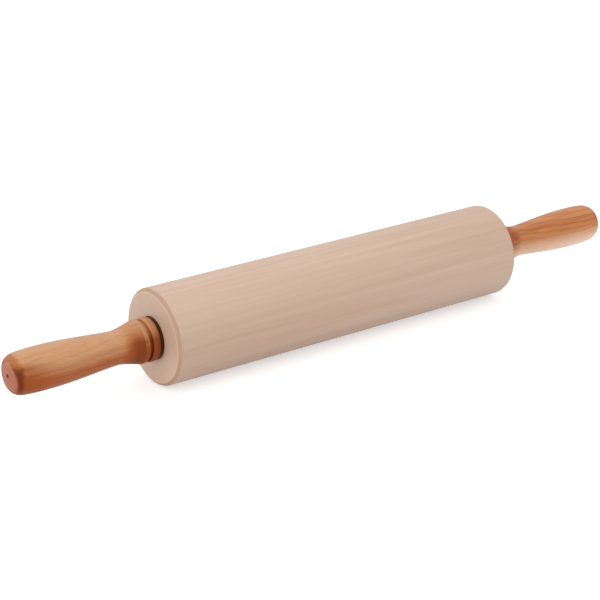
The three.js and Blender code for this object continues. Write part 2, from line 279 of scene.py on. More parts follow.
def swell(start, end, start_reach, end_reach, steps):
    """Points of an S from one level stretch to another. A reach is a share of the way along."""
    along = end[0] - start[0]
    return bezier(start, (start[0] + along * start_reach, start[1]),
                  (end[0] - along * end_reach, end[1]), end, steps)


def mirrored(outline):
    """The same outline at the pin's other end, in reverse order."""
    return [(-place, radius) for place, radius in reversed(outline)]


def turned(outline, sides, ring=False):
    """A mesh turned about the axle. A ring's outline closes on itself."""
    bm = bmesh.new()
    verts = [bm.verts.new((place, 0.0, radius)) for place, radius in outline]
    pairs = list(zip(verts, verts[1:]))
    if ring:
        pairs.append((verts[-1], verts[0]))
    edges = [bm.edges.new(pair) for pair in pairs]
    bmesh.ops.spin(bm, geom=verts + edges, cent=(0, 0, 0), axis=(1, 0, 0), dvec=(0, 0, 0),
                   angle=math.tau, space=Matrix.Identity(4), steps=sides, use_merge=True,
                   use_normal_flip=False, use_duplicate=False)
    bmesh.ops.remove_doubles(bm, verts=bm.verts, dist=WELD)
    bmesh.ops.recalc_face_normals(bm, faces=bm.faces)
    return bm


def soften(bm, width, segments=3, least=40.0):
    """Bevels the edges that are sharper than an angle in degrees."""
    sharp = [e for e in bm.edges if e.is_manifold and e.calc_face_angle() > math.radians(least)]
    bmesh.ops.bevel(bm, geom=sharp, offset=width, offset_type="OFFSET", segments=segments,
                    profile=0.5, affect="EDGES", clamp_overlap=True, material=-1)
    return bm


def cut(bm, cutter):
    """Takes the cutter's solids out of a mesh."""
    pieces = []
    for shape in (bm, cutter):
        mesh = bpy.data.meshes.new("cutting")
        shape.to_mesh(mesh)
        shape.free()
        pieces.append(bpy.data.objects.new("cutting", mesh))
        bpy.context.scene.collection.objects.link(pieces[-1])
    boolean = pieces[0].modifiers.new("pockets", "BOOLEAN")
    boolean.operation = "DIFFERENCE"
    boolean.solver = "EXACT"
    boolean.object = pieces[1]
    evaluated = pieces[0].evaluated_get(bpy.context.evaluated_depsgraph_get())
    result = bmesh.new()
    result.from_mesh(evaluated.to_mesh())
    for piece in pieces:
        bpy.data.objects.remove(piece)
    return result


def on_side(bm, side):
    """Turns a mesh modelled at the right to its side."""
    if side == "left":
        bmesh.ops.rotate(bm, verts=bm.verts, cent=(0, 0, 0), matrix=HALF_TURN)
    return bm


def finished(bm, name, material, node):
    """Makes the piece that stands for a CAD node, on that node's body and in its finish."""
    mesh = bpy.data.meshes.new(name)
    bm.to_mesh(mesh)
    bm.free()
    mesh.materials.append(material)
    mesh.shade_smooth()
    mesh.set_sharp_from_angle(angle=SMOOTH_BELOW)
    piece = bpy.data.objects.new(name, mesh)
    bpy.context.scene.collection.objects.link(piece)
    body = next(b for b, nodes in frame["record"]["behaviour"]["bodies"].items() if node in nodes)
    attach(piece, body)
    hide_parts(node)


def add_node(tree, kind, inputs=None, **values):
    """Adds a shader node. An input is a plain value or another node's output."""
    made = tree.nodes.new(kind)
    for name, value in values.items():
        setattr(made, name, value)
    fill_inputs(tree, made, inputs or {})
    return made


def fill_inputs(tree, node, inputs):
    for key, value in inputs.items():
        if isinstance(value, bpy.types.NodeSocket):
            tree.links.new(value, node.inputs[key])
        else:
            node.inputs[key].default_value = value


def maths(tree, operation, first, second=0.0, clamp=False):
    return add_node(tree, "ShaderNodeMath", {0: first, 1: second}, operation=operation,
                    use_clamp=clamp).outputs[0]


def times(tree, first, second):
    return maths(tree, "MULTIPLY", first, second)


def total(tree, *terms):
    """The sum of some (value, share) terms, kept between 0 and 1."""
    whole = 0.0
    for value, share in terms:
        whole = maths(tree, "ADD", times(tree, value, share), whole, clamp=True)
    return whole


def between(tree, value, low, high, to_low=0.0, to_high=1.0):
    """Eases a value from one range to another."""
    return add_node(tree, "ShaderNodeMapRange",
                    {"Value": value, "From Min": low, "From Max": high, "To Min": to_low,
                     "To Max": to_high}, interpolation_type="SMOOTHSTEP").outputs[0]


def band(tree, value, low, high, ease):
    """1 between low and high, easing to 0 outside."""
    rise = between(tree, value, low - ease, low)
    return times(tree, rise, between(tree, value, high, high + ease, 1.0, 0.0))


def blend(tree, factor, first, second):
    """Mixes two colours, each three numbers or another node's output."""
    mix = add_node(tree, "ShaderNodeMix", {"Factor": factor}, data_type="RGBA")
    sockets = [socket for socket in mix.inputs if socket.type == "RGBA"]
    for socket, colour in zip(sockets, (first, second)):
        if isinstance(colour, bpy.types.NodeSocket):
            tree.links.new(colour, socket)
        else:
            socket.default_value = (*colour, 1.0)
    return next(socket for socket in mix.outputs if socket.type == "RGBA")


def effect(name, inputs, outputs):
    """A shader node group with named inputs, given with their defaults, and named outputs."""
    group = bpy.data.node_groups.new(name, "ShaderNodeTree")
    for label, default in inputs.items():
        kind = "NodeSocketVector" if default is None else "NodeSocketFloat"
        socket = group.interface.new_socket(label, in_out="INPUT", socket_type=kind)
        if default is not None:
            socket.default_value = default
    for label in outputs:
        group.interface.new_socket(label, in_out="OUTPUT", socket_type="NodeSocketFloat")
    return group, group.nodes.new("NodeGroupInput").outputs, group.nodes.new("NodeGroupOutput").inputs


def placed(tree, name, inputs):
    """Places an effect in a material with its own values."""
    made = add_node(tree, "ShaderNodeGroup", node_tree=bpy.data.node_groups[name])
    fill_inputs(tree, made, inputs)
    return made.outputs


def split(tree, vector):
    return add_node(tree, "ShaderNodeSeparateXYZ", {0: vector}).outputs


def joined(tree, x, y, z):
    return add_node(tree, "ShaderNodeCombineXYZ", {0: x, 1: y, 2: z}).outputs[0]


def distance_from_x(tree, parts):
    squares = [times(tree, parts[axis], parts[axis]) for axis in (1, 2)]
    return maths(tree, "SQRT", maths(tree, "ADD", *squares))


def stretched(tree, parts, length, width):
    """Coordinates in units of a length along X and a width across it."""
    across = [maths(tree, "DIVIDE", parts[axis], width) for axis in (1, 2)]
    return joined(tree, maths(tree, "DIVIDE", parts[0], length), *across)


def noise(tree, vector, detail, roughness):
    return add_node(tree, "ShaderNodeTexNoise",
                    {"Vector": vector, "Scale": 1.0, "Detail": detail, "Roughness": roughness}
                    ).outputs[0]


def noise_along(tree, value, scale, detail):
    """Noise that follows a single value."""
    return add_node(tree, "ShaderNodeTexNoise", {"W": value, "Scale": scale, "Detail": detail},
                    noise_dimensions="1D").outputs[0]


def build_growth_rings():
    """Late wood and ring-to-ring tone of a log whose pith lies along X. Lengths are in metres."""
    group, given, made = effect("Growth rings", {
        "Vector": None,
        "Ring Width": 2.2 * MM,
        "Wander": 6.0 * MM,
        "Wander Length": 180.0 * MM,
        "Wander Width": 45.0 * MM,
    }, ("Late Wood", "Ring Tone"))
    parts = split(group, given["Vector"])
    where = stretched(group, parts, given["Wander Length"], given["Wander Width"])
    centred = maths(group, "SUBTRACT", noise(group, where, 3.0, 0.45), 0.5)
    shift = times(group, centred, given["Wander"])
    place = maths(group, "ADD", distance_from_x(group, parts), shift)
    rings = maths(group, "DIVIDE", place, given["Ring Width"])
    within = maths(group, "FRACT", rings)
    rise = between(group, within, 0.40, 0.92)
    drop = between(group, within, 0.93, 1.0, 1.0, 0.0)
    group.links.new(times(group, rise, drop), made["Late Wood"])
    tone = noise_along(group, rings, 0.55, 1.0)
    group.links.new(between(group, tone, 0.3, 0.7), made["Ring Tone"])


def build_fibres():
    """Fine streaks and short dark pores along X. Lengths are in metres."""
    group, given, made = effect("Fibres", {
        "Vector": None,
        "Streak Width": 1.2 * MM,
        "Streak Length": 60.0 * MM,
        "Pore Width": 0.35 * MM,
        "Pore Length": 5.0 * MM,
        "Pore Share": 0.3,
    }, ("Streaks", "Pores"))
    parts = split(group, given["Vector"])
    drawn = stretched(group, parts, given["Streak Length"], given["Streak Width"])
    group.links.new(between(group, noise(group, drawn, 4.0, 0.6), 0.3, 0.7), made["Streaks"])
    dashes = stretched(group, parts, given["Pore Length"], given["Pore Width"])
    cells = add_node(group, "ShaderNodeTexVoronoi", {"Vector": dashes, "Scale": 1.0}, feature="F1")
    mark = between(group, cells.outputs["Distance"], 0.12, 0.42, 1.0, 0.0)
    chance = add_node(group, "ShaderNodeSeparateColor", {0: cells.outputs["Color"]}).outputs[0]
    kept = maths(group, "LESS_THAN", chance, given["Pore Share"])
    group.links.new(times(group, mark, kept), made["Pores"])


def build_lathe_marks():
    """Fine rings round X that a tool leaves, on cylinders and on faces. Lengths are in metres."""
    group, given, made = effect("Lathe marks", {"Vector": None, "Pitch": 0.4 * MM}, ("Marks",))
    parts = split(group, given["Vector"])
    place = maths(group, "ADD", parts[0], distance_from_x(group, parts))
    turns = maths(group, "DIVIDE", place, given["Pitch"])
    group.links.new(noise_along(group, turns, 1.0, 2.0), made["Marks"])


def build_blotches():
    """Soft uneven patches, such as wear, oil or a mould's mottling. Lengths are in metres."""
    group, given, made = effect("Blotches", {"Vector": None, "Width": 8.0 * MM}, ("Patches", "Specks"))
    parts = split(group, given["Vector"])
    patches = noise(group, stretched(group, parts, given["Width"], given["Width"]), 3.0, 0.55)
    group.links.new(between(group, patches, 0.32, 0.68), made["Patches"])
    fine = times(group, given["Width"], 0.04)
    specks = noise(group, stretched(group, parts, fine, fine), 1.0, 0.5)
    group.links.new(specks, made["Specks"])


def surface(name):
    """A new node material with its tree, its surface shader and its object coordinates."""
    material = bpy.data.materials.new(name)
    material.use_nodes = True
    tree = material.node_tree
    place = tree.nodes.new("ShaderNodeTexCoord").outputs["Object"]
    return material, tree, tree.nodes["Principled BSDF"], place


def moved(tree, place, location, rotation):
    return add_node(tree, "ShaderNodeMapping",
                    {"Vector": place, "Location": location, "Rotation": rotation}).outputs[0]


def bump(tree, shader, height, strength, distance):
    normal = add_node(tree, "ShaderNodeBump",
                      {"Height": height, "Strength": strength, "Distance": distance}).outputs[0]
    tree.links.new(normal, shader.inputs["Normal"])


def roughen(tree, shader, pattern, smoothest, roughest):
    """Lets a pattern vary the shader's roughness."""
    tree.links.new(between(tree, pattern, 0.0, 1.0, smoothest, roughest), shader.inputs["Roughness"])


def barrel_tone(tree, along, height):
    """Where the barrel's colour changes: low down it is darker towards the left, a painted shade, and
    paler towards the right, a painted floor reflection; it is also darker just below the middle and at
    the top right."""
    low_shade_and_reflection = times(tree, between(tree, height, 20 * MM, 2 * MM),
                     between(tree, along, -140 * MM, 140 * MM, 0.35, -0.22))
    streak = band(tree, height, -9 * MM, -3 * MM, 8 * MM)
    top_right = times(tree, between(tree, height, 12 * MM, 28 * MM),
                      between(tree, along, -20 * MM, 130 * MM, 0.0, 0.28))
    return low_shade_and_reflection, streak, top_right


def barrel_ends(tree, sizes, parts, side_wood):
    """The barrel's colour with its end grain, painted darker at the top of the end face and paler low
    down (painted shade and painted light), a painted highlight line round the face, and a darker band on
    the rounded rim.
    """
    edge, radius = sizes.edge_radius, sizes.diameter / 2
    past_end = maths(tree, "SUBTRACT", maths(tree, "ABSOLUTE", parts[0]), sizes.length / 2 - edge)
    past_side = maths(tree, "SUBTRACT", distance_from_x(tree, parts), radius - edge)
    corner = maths(tree, "ADD", past_end, past_side)
    end_face = between(tree, past_end, 0.85 * edge, 0.95 * edge)
    # The end grain is painted darker at the top and paler low down: painted shade above, painted light
    # below.
    heart = between(tree, parts[2], -0.8 * radius, 0.8 * radius)
    end_grain = blend(tree, heart, sizes.end_low_light, sizes.end_top_shade)
    faced = blend(tree, times(tree, end_face, 0.7), side_wood, end_grain)
    # A painted highlight: a pale line where the end face meets the rounded rim.
    rim_highlight = times(tree, band(tree, past_side, 0.0, 0.4 * MM, 0.5 * MM), end_face)
    edged = blend(tree, times(tree, rim_highlight, 0.7), faced, sizes.rim_highlight)
    return blend(tree, between(tree, corner, 1.15 * edge, 1.38 * edge), edged, sizes.rim)


def barrel_wood(sizes):
    """Fine-sanded pale hardwood with a close, straight grain."""
    material, tree, shader, place = surface("barrel_wood")
    pith = moved(tree, place, location=(0.0, 62 * MM, 48 * MM), rotation=(0.0, 0.012, 0.008))
    rings = placed(tree, "Growth rings", {
        "Vector": pith, "Ring Width": 4.6 * MM, "Wander": 14 * MM, "Wander Length": 200 * MM,
        "Wander Width": 40 * MM})
    fibres = placed(tree, "Fibres", {
        "Vector": place, "Streak Width": 3.4 * MM, "Streak Length": 110 * MM,
        "Pore Width": 0.5 * MM, "Pore Length": 2.6 * MM, "Pore Share": 0.3})
    parts = split(tree, place)
    low_shade_and_reflection, streak, top_right = barrel_tone(tree, parts[0], parts[2])
    # The tone adds painted shade low down at the left and a painted floor reflection low down at the
    # right.
    depth = total(tree, (rings["Late Wood"], 0.08), (rings["Ring Tone"], 0.24),
                  (fibres["Streaks"], 0.30), (low_shade_and_reflection, 1.0), (streak, 0.18), (top_right, 1.0))
    grained = blend(tree, depth, sizes.pale, sizes.deep)
    flecked = blend(tree, times(tree, fibres["Pores"], 0.16), grained, sizes.pore)
    tree.links.new(barrel_ends(tree, sizes, parts, flecked), shader.inputs["Base Color"])
    roughen(tree, shader, fibres["Streaks"], 0.50, 0.60)
    shader.inputs["Specular IOR Level"].default_value = 1.0
    bump(tree, shader, maths(tree, "SUBTRACT", fibres["Streaks"], fibres["Pores"]), 0.10, 0.12 * MM)
    return material


def tip_masks(tree, sizes, along, across, height):
    """The handle's bare end grain, its centre mark, and the rounded corner with the corner's middle; the
    mark and the corner take painted shade.
    """
    tip = sizes.start + sizes.length
    near_tip = between(tree, along, tip - 6.8 * MM, tip - 2.8 * MM)
    from_heart = total(tree, (across, 1.0), (height, 0.25))
    bare = times(tree, between(tree, from_heart, 13.2 * MM, 9.4 * MM),
                 between(tree, across, 13.4 * MM, 10.6 * MM))
    end_face = times(tree, near_tip, bare)
    mark = times(tree, near_tip, between(tree, across, 1.9 * MM, 1.2 * MM))
    corner = maths(tree, "SUBTRACT", near_tip, end_face)
    corner_middle = times(tree, corner, band(tree, height, -5 * MM, 3 * MM, 5 * MM))
    return end_face, mark, corner, corner_middle


def grip_masks(tree, sizes, along, height, painted_shade_side):
    """Where painted shade darkens the grip towards its tip: along the side, and in a short band above
    that.
    """
    tip = sizes.start + sizes.length
    shoulder = times(tree, between(tree, along, tip - 42 * MM, tip - 2 * MM),
                     between(tree, height, 11 * MM, 6 * MM, 0.0, painted_shade_side))
    ahead = times(tree, between(tree, along, tip - 18 * MM, tip - 9 * MM),
                  between(tree, along, tip - 5.5 * MM, tip - 3 * MM, 1.0, 0.0))
    return shoulder, times(tree, ahead, band(tree, height, 7.5 * MM, 9.5 * MM, 3 * MM))


def neck_shade(tree, sizes, along, height, painted_shade_side):
    """Painted shade in the cove, the groove, the bead and the lip, and more of it low down."""
    groove = sizes.start + sizes.bead_width
    lip = groove + sizes.groove_width + sizes.lip_rise
    cove = lip + sizes.lip_width + sizes.lip_step
    hollow = times(tree, between(tree, along, cove - 0.2 * MM, cove + 0.3 * MM),
                   between(tree, along, cove + 4 * MM, cove + 18 * MM, 1.0, 0.0))
    darkening = total(tree, (hollow, 0.78),
                     (band(tree, along, groove, lip - 0.5 * sizes.lip_rise, 0.6 * MM), 0.74),
                     (band(tree, along, sizes.start, groove, 0.5 * MM), 0.65),
                     (band(tree, along, lip, cove, 0.3 * MM), 0.45))
    at_top, at_side = 0.47 - 0.23 * painted_shade_side, 0.42 + 0.58 * painted_shade_side
    return times(tree, darkening, between(tree, height, 15 * MM, 4 * MM, at_top, at_side))


def handle_wood(name, sizes, wood):
    """Red-brown stained hardwood under a satin lacquer. Painted shade darkens the hollows, the tip and
    the near handle's underside, and a painted floor reflection pales the far handle's underside.
    """
    material, tree, shader, place = surface(name)
    pith = moved(tree, place, wood["pith"], wood["turn"])
    rings = placed(tree, "Growth rings", {
        "Vector": pith, "Ring Width": 3.1 * MM, "Wander": 9 * MM, "Wander Length": 70 * MM,
        "Wander Width": 25 * MM})
    fibres = placed(tree, "Fibres", {
        "Vector": pith, "Streak Width": wood["streak"], "Streak Length": 24 * wood["streak"],
        "Pore Width": 1.1 * MM, "Pore Length": 13 * MM, "Pore Share": 0.12})
    parts = split(tree, place)
    along, across, height = maths(tree, "ABSOLUTE", parts[0]), distance_from_x(tree, parts), parts[2]
    painted_shade_side = wood["painted_shade_side"]
    end_face, mark, corner, corner_middle = tip_masks(tree, sizes, along, across, height)
    shoulder, above = grip_masks(tree, sizes, along, height, painted_shade_side)
    # This stain is painted shade: at the tip's corner, along the grip's side and in the neck's hollows.
    stain = total(tree, (corner, 0.39), (corner_middle, 0.12 * painted_shade_side), (shoulder, 0.46),
                  (above, 0.2 * painted_shade_side), (neck_shade(tree, sizes, along, height, painted_shade_side), 1.0))
    # Painted shade on the underside, full on the near handle.
    under = times(tree, between(tree, height, 8 * MM, -6 * MM), painted_shade_side)
    upper_dark_band = band(tree, height, 9.5 * MM, 10.5 * MM, 3.5 * MM)
    depth = total(tree, (rings["Late Wood"], wood["late"]), (rings["Ring Tone"], 0.16),
                  (fibres["Streaks"], wood["figure"]), (upper_dark_band, wood["heart"]), (under, 0.70),
                  (stain, 1.0))
    grained = blend(tree, depth, wood["pale"], sizes.deep)
    # The painted shade and the real pores take on the dark colour.
    darkening = total(tree, (times(tree, stain, stain), 1.0), (fibres["Pores"], 0.3))
    stained = blend(tree, darkening, grained, sizes.dark)
    faced = blend(tree, times(tree, end_face, 0.85), stained, sizes.end_grain)
    # Painted shade in the centre mark.
    marked = blend(tree, times(tree, mark, 0.9), faced, sizes.dark)
    # A painted floor reflection pales the right handle's underside.
    painted_floor_reflection = times(tree, between(tree, height, 6 * MM, -10.5 * MM), wood["floor_reflection_side"])
    tree.links.new(blend(tree, painted_floor_reflection, marked, sizes.painted_floor_reflection), shader.inputs["Base Color"])
    roughen(tree, shader, fibres["Streaks"], 0.42, 0.52)
    shader.inputs["Specular IOR Level"].default_value = 0.1
    coat = times(tree, between(tree, under, 0.0, 1.0, wood["lacquer"], 0.15),
                 between(tree, stain, 0.0, 0.5, 1.0, 0.1))
    tree.links.new(coat, shader.inputs["Coat Weight"])
    shader.inputs["Coat Roughness"].default_value = 0.32
    bump(tree, shader, maths(tree, "SUBTRACT", fibres["Streaks"], fibres["Pores"]), 0.08, 0.10 * MM)
    return material


def metal(name, colour, smoothest, roughest, pitch, depth=0.15, bare=1.0):
    """Machined metal with the rings that a tool leaves. Oxide makes it less bare."""
    material, tree, shader, place = surface(name)
    marks = placed(tree, "Lathe marks", {"Vector": place, "Pitch": pitch})["Marks"]
    patches = placed(tree, "Blotches", {"Vector": place, "Width": 7 * MM})["Patches"]
    darker = [0.82 * part for part in colour]
    dulled = total(tree, (marks, 0.4), (patches, 0.4))
    tree.links.new(blend(tree, dulled, colour, darker), shader.inputs["Base Color"])
    roughen(tree, shader, total(tree, (marks, 0.5), (patches, 0.5)), smoothest, roughest)
    shader.inputs["Metallic"].default_value = bare
    bump(tree, shader, marks, depth, 0.02 * MM)
    return material


def moulded(name, colour, darkened, smoothest, roughest, shine):
    """Moulded rubber or nylon, mottled with a darkened share of its colour, with a fine-grained skin."""
    material, tree, shader, place = surface(name)
    skin = placed(tree, "Blotches", {"Vector": place, "Width": 5 * MM})
    darker = [darkened * part for part in colour]
    tree.links.new(blend(tree, skin["Patches"], colour, darker), shader.inputs["Base Color"])
    roughen(tree, shader, skin["Patches"], smoothest, roughest)
    shader.inputs["Specular IOR Level"].default_value = shine
    bump(tree, shader, skin["Specks"], 0.2, 0.03 * MM)
    return material


def barrel_outline(sizes, bearing_inside):
    """Half of the barrel's outline, from the rim down the end face and into the bore."""
    end, radius, edge = sizes.length / 2, sizes.diameter / 2, sizes.edge_radius
    rim = arc((end - edge, radius - edge), (edge, edge), QUARTER, 0.0, 12)
    inside = [
        (end, sizes.seat_radius + sizes.seat_chamfer),
        (end - sizes.seat_chamfer, sizes.seat_radius),
        (bearing_inside, sizes.seat_radius),
        (bearing_inside, sizes.clip_room_radius),
        (bearing_inside - sizes.clip_room_depth, sizes.clip_room_radius),
        (bearing_inside - sizes.clip_room_depth, sizes.bore_radius),
    ]
    return rim + inside


def handle_outside(sizes):
    """The handle's outside, from the rim of its inner face to its tip."""
    tip = sizes.start + sizes.length
    bead_end = sizes.start + sizes.bead_width
    bead_radius = sizes.bead_diameter / 2
    groove_radius = bead_radius - sizes.groove_depth
    lip_top = (bead_end + sizes.groove_width + sizes.lip_rise, sizes.lip_diameter / 2)
    lip_end = (lip_top[0] + sizes.lip_width, lip_top[1])
    cove = (lip_end[0] + 1.5 * sizes.lip_step, lip_end[1] - sizes.lip_step)
    waist = (sizes.start + sizes.waist_from_end, sizes.waist_diameter / 2)
    grip = (tip - sizes.grip_from_tip, sizes.grip_diameter / 2)
    corner_start = tip - sizes.dome_height - sizes.corner_length
    shoulder = (corner_start, sizes.shoulder_diameter / 2)
    face_edge = (tip - sizes.dome_height, shoulder[1] - sizes.corner_height)
    bead = arc((sizes.start + sizes.bead_width / 2, bead_radius - sizes.bead_round_height),
               (sizes.bead_width / 2, sizes.bead_round_height), math.pi, 0.0, 20)
    lip = arc((lip_top[0], groove_radius), (sizes.lip_rise, lip_top[1] - groove_radius),
              math.pi, QUARTER, 10)
    round_over = arc((lip_end[0], cove[1]), (cove[0] - lip_end[0], sizes.lip_step), QUARTER, 0.0, 5)
    cove_slope, cove_reach, waist_reach = 0.256, 8 * MM, 3 * MM
    hollow = bezier(cove, (cove[0] + cove_reach, cove[1] - cove_slope * cove_reach),
                    (waist[0] - waist_reach, waist[1]), waist, 24)
    taper_slope = 2 * (grip[1] - shoulder[1]) / (shoulder[0] - grip[0])
    middle = (grip[0] + shoulder[0]) / 2
    taper = bezier(grip, (middle, grip[1]),
                   (middle, shoulder[1] + taper_slope * (shoulder[0] - middle)), shoulder, 12)
    fullness = 0.56
    corner = bezier(shoulder,
                    (shoulder[0] + fullness * sizes.corner_length,
                     shoulder[1] - taper_slope * fullness * sizes.corner_length),
                    (face_edge[0], face_edge[1] + fullness * sizes.corner_height), face_edge, 16)
    mark = (tip, sizes.mark_diameter / 2)
    steep_to, level_from = 0.8 * face_edge[1], 0.6 * face_edge[1]
    face = bezier(face_edge, (face_edge[0], steep_to), (tip, level_from), mark, 10)
    belly = swell(waist, grip, start_reach=0.163, end_reach=0.391, steps=36)
    return (bead + [(bead_end, groove_radius)] + lip + round_over + hollow + belly + taper + corner
            + face + [(tip - sizes.mark_depth, 0.0)])


def handle_outline(sizes, hardware, axle):
    """The whole handle: its blind bore for the insert and the axle's pilot, then its outside."""
    pilot_end, pilot_radius = end_of("axle") + FIT, axle.pilot_radius + FIT
    insert_end, insert_radius = end_of("right_threaded_insert") + 2 * MM, hardware.insert_radius + FIT
    flange_radius = hardware.flange_radius + FIT
    flange_floor = sizes.start + hardware.flange_thickness + FIT
    return [
        (pilot_end, 0.0),
        (pilot_end, pilot_radius),
        (insert_end, pilot_radius),
        (insert_end, insert_radius),
        (flange_floor, insert_radius),
        (flange_floor, flange_radius),
        (sizes.start, flange_radius),
    ] + handle_outside(sizes)


class ROLLINGPIN_OT_effects(Operator):
    """Build the wood, metal and moulding effects that several finishes use"""
    bl_idname = "rolling_pin.effects"
    bl_label = "Effects"

    def execute(self, context):
        build_growth_rings()
        build_fibres()
        build_lathe_marks()
        build_blotches()
        return {"FINISHED"}


class ROLLINGPIN_OT_barrel(Operator):
    """Turn the pale barrel, with its bearing seats and bore"""
    bl_idname = "rolling_pin.barrel"
    bl_label = "Barrel"

    def execute(self, context):
        sizes = settings(context).barrel
        right = barrel_outline(sizes, start_of("right_outer_race") - FIT)
        bm = turned(right + mirrored(right), sizes.sides, ring=True)
        finished(bm, "barrel_wood", barrel_wood(sizes), "barrel")
        return {"FINISHED"}


class ROLLINGPIN_OT_handles(Operator):
    """Turn the two stained handles"""
    bl_idname = "rolling_pin.handles"
    bl_label = "Handles"

    def execute(self, context):
        given = settings(context)
        sizes = given.handle
        # Where the log's pith lies and how it is turned, the streaks' width and the early wood's colour.
        # The rest say how strongly the figure, the late wood, a dark band along the upper side, the
        # painted shade low down on the near handle, the painted floor reflection low down and the
        # lacquer show.
        woods = {
            "left": {"pith": (0.0, 21 * MM, 34 * MM), "turn": (0.0, 0.03, 0.02),
                     "streak": 1.1 * MM, "figure": 0.22, "late": 0.10, "heart": 0.0,
                     "pale": sizes.pale_left, "painted_shade_side": 1.0, "floor_reflection_side": 0.0, "lacquer": 0.9},
            "right": {"pith": (0.0, 4 * MM, 42 * MM), "turn": (0.0, -0.02, 0.03),
                      "streak": 2.0 * MM, "figure": 0.45, "late": 0.30, "heart": 0.28,
                      "pale": sizes.pale_right, "painted_shade_side": 0.1, "floor_reflection_side": 0.91, "lacquer": 0.6},
        }
        for side in SIDES:
            name = f"{side}_handle_wood"
            bm = turned(handle_outline(sizes, given.hardware, given.axle), sizes.sides)
            finished(on_side(bm, side), name, handle_wood(name, sizes, woods[side]), f"{side}_handle")
        return {"FINISHED"}


class ROLLINGPIN_OT_axle(Operator):
    """Turn the steel axle, with its retaining-ring grooves and its pilots"""
    bl_idname = "rolling_pin.axle"
    bl_label = "Axle"

    def execute(self, context):
        sizes = settings(context).axle
        end, step = end_of("axle"), end_of("right_threaded_insert")
        groove = (start_of("right_retaining_ring") - FIT, end_of("right_retaining_ring") + FIT)
        floor = sizes.radius - sizes.groove_depth
        right = [
            (groove[0], sizes.radius), (groove[0], floor), (groove[1], floor),
            (groove[1], sizes.radius), (step, sizes.radius), (step + sizes.chamfer, sizes.pilot_radius),
            (end - sizes.chamfer, sizes.pilot_radius), (end, sizes.pilot_radius - sizes.chamfer),
            (end, 0.0),
        ]
        bm = soften(turned(mirrored(right) + right, sizes.sides), 0.08 * MM)
        steel = metal("axle_steel", sizes.steel, smoothest=0.22, roughest=0.34, pitch=0.25 * MM)
        finished(bm, "axle_steel", steel, "axle")
        return {"FINISHED"}


def groove_arc(sizes, middle, shoulder, start, end):
    """A race's ball groove, whose ends lie at the shoulder."""
    points = arc((middle, sizes.pitch_radius), (sizes.groove_radius,) * 2, start, end, 18)
    return [(points[0][0], shoulder), *points[1:-1], (points[-1][0], shoulder)]


class ROLLINGPIN_OT_races(Operator):
    """Grind the inner and outer races of the two bearings"""
    bl_idname = "rolling_pin.races"
    bl_label = "Races"

    def execute(self, context):
        sizes = settings(context).bearing
        # The races' brown is partly painted shade and painted bounce light in the gap by the bead.
        steel = metal("race_steel", sizes.race, smoothest=0.52, roughest=0.64, pitch=0.3 * MM,
                      depth=0.08, bare=0.3)
        inside, outside = start_of("right_inner_race"), end_of("right_inner_race")
        middle = bearing_middle()
        dip = math.asin((sizes.pitch_radius - sizes.inner_shoulder) / sizes.groove_radius)
        inner = [
            (inside, sizes.bore_radius),
            (inside, sizes.inner_shoulder),
            *groove_arc(sizes, middle, sizes.inner_shoulder, math.pi + dip, math.tau - dip),
            (outside, sizes.inner_shoulder),
            (outside, sizes.bore_radius),
        ]
        dip = math.asin((sizes.outer_shoulder - sizes.pitch_radius) / sizes.groove_radius)
        rim = sizes.outside_radius - sizes.chamfer
        outer = [
            (inside, sizes.seal_seat),
            (inside, rim),
            (inside + sizes.chamfer, sizes.outside_radius),
            (outside - sizes.chamfer, sizes.outside_radius),
            (outside, rim),
            (outside, sizes.seal_seat),
            (outside - sizes.seal_ledge, sizes.seal_seat),
            (outside - sizes.seal_ledge, sizes.outer_shoulder),
            *groove_arc(sizes, middle, sizes.outer_shoulder, dip, math.pi - dip),
            (inside + sizes.seal_ledge, sizes.outer_shoulder),
            (inside + sizes.seal_ledge, sizes.seal_seat),
        ]
        for side in SIDES:
            for kind, outline in (("inner", inner), ("outer", outer)):
                bm = soften(turned(outline, sizes.sides, ring=True), 0.1 * MM)
                finished(on_side(bm, side), f"{side}_{kind}_race_steel", steel, f"{side}_{kind}_race")
        return {"FINISHED"}


class ROLLINGPIN_OT_seals(Operator):
    """Mould the rubber seals, each with a lip at the inner race and a shallow channel"""
    bl_idname = "rolling_pin.seals"
    bl_label = "Seals"

    def execute(self, context):
        sizes = settings(context).bearing
        # The seals' red-brown is partly painted shade and painted bounce light in the gap by the bead.
        rubber = moulded("seal_rubber", sizes.rubber, darkened=0.7, smoothest=0.50, roughest=0.64,
                         shine=0.2)
        # Each point is a share of the way from face to back, and a share of the way out from the lip.
        section = [
            (0.00, 0.09), (0.00, 0.22), (0.28, 0.27), (0.28, 0.70), (0.00, 0.75), (0.00, 0.92),
            (0.15, 0.98), (0.42, 1.00), (0.82, 1.00), (1.00, 0.96), (1.00, 0.07), (0.70, 0.01),
            (0.38, 0.00), (0.12, 0.03),
        ]
        width = sizes.seal_radius - sizes.seal_lip
        for side in SIDES:
            for kind in ("outboard", "inboard"):
                face, back = start_of(f"right_{kind}_seal"), end_of(f"right_{kind}_seal")
                if kind == "outboard":
                    face, back = back, face
                outline = [(face + (back - face) * deep, sizes.seal_lip + width * up)
                           for deep, up in section]
                bm = soften(turned(outline, sizes.sides, ring=True), 0.05 * MM, segments=2)
                finished(on_side(bm, side), f"{side}_{kind}_seal_rubber", rubber, f"{side}_{kind}_seal")
        return {"FINISHED"}


def ball_places(sizes):
    """The middles of the right bearing's balls, as (node number, place)."""
    for number in range(1, sizes.ball_count + 1):
        turn = math.tau * (number - 0.5) / sizes.ball_count
        yield number, Vector((bearing_middle(), sizes.pitch_radius * math.cos(turn),
                              sizes.pitch_radius * math.sin(turn)))


def add_ball(bm, place, radius):
    made = bmesh.ops.create_uvsphere(bm, u_segments=32, v_segments=18, radius=radius)
    bmesh.ops.translate(bm, verts=made["verts"], vec=place)


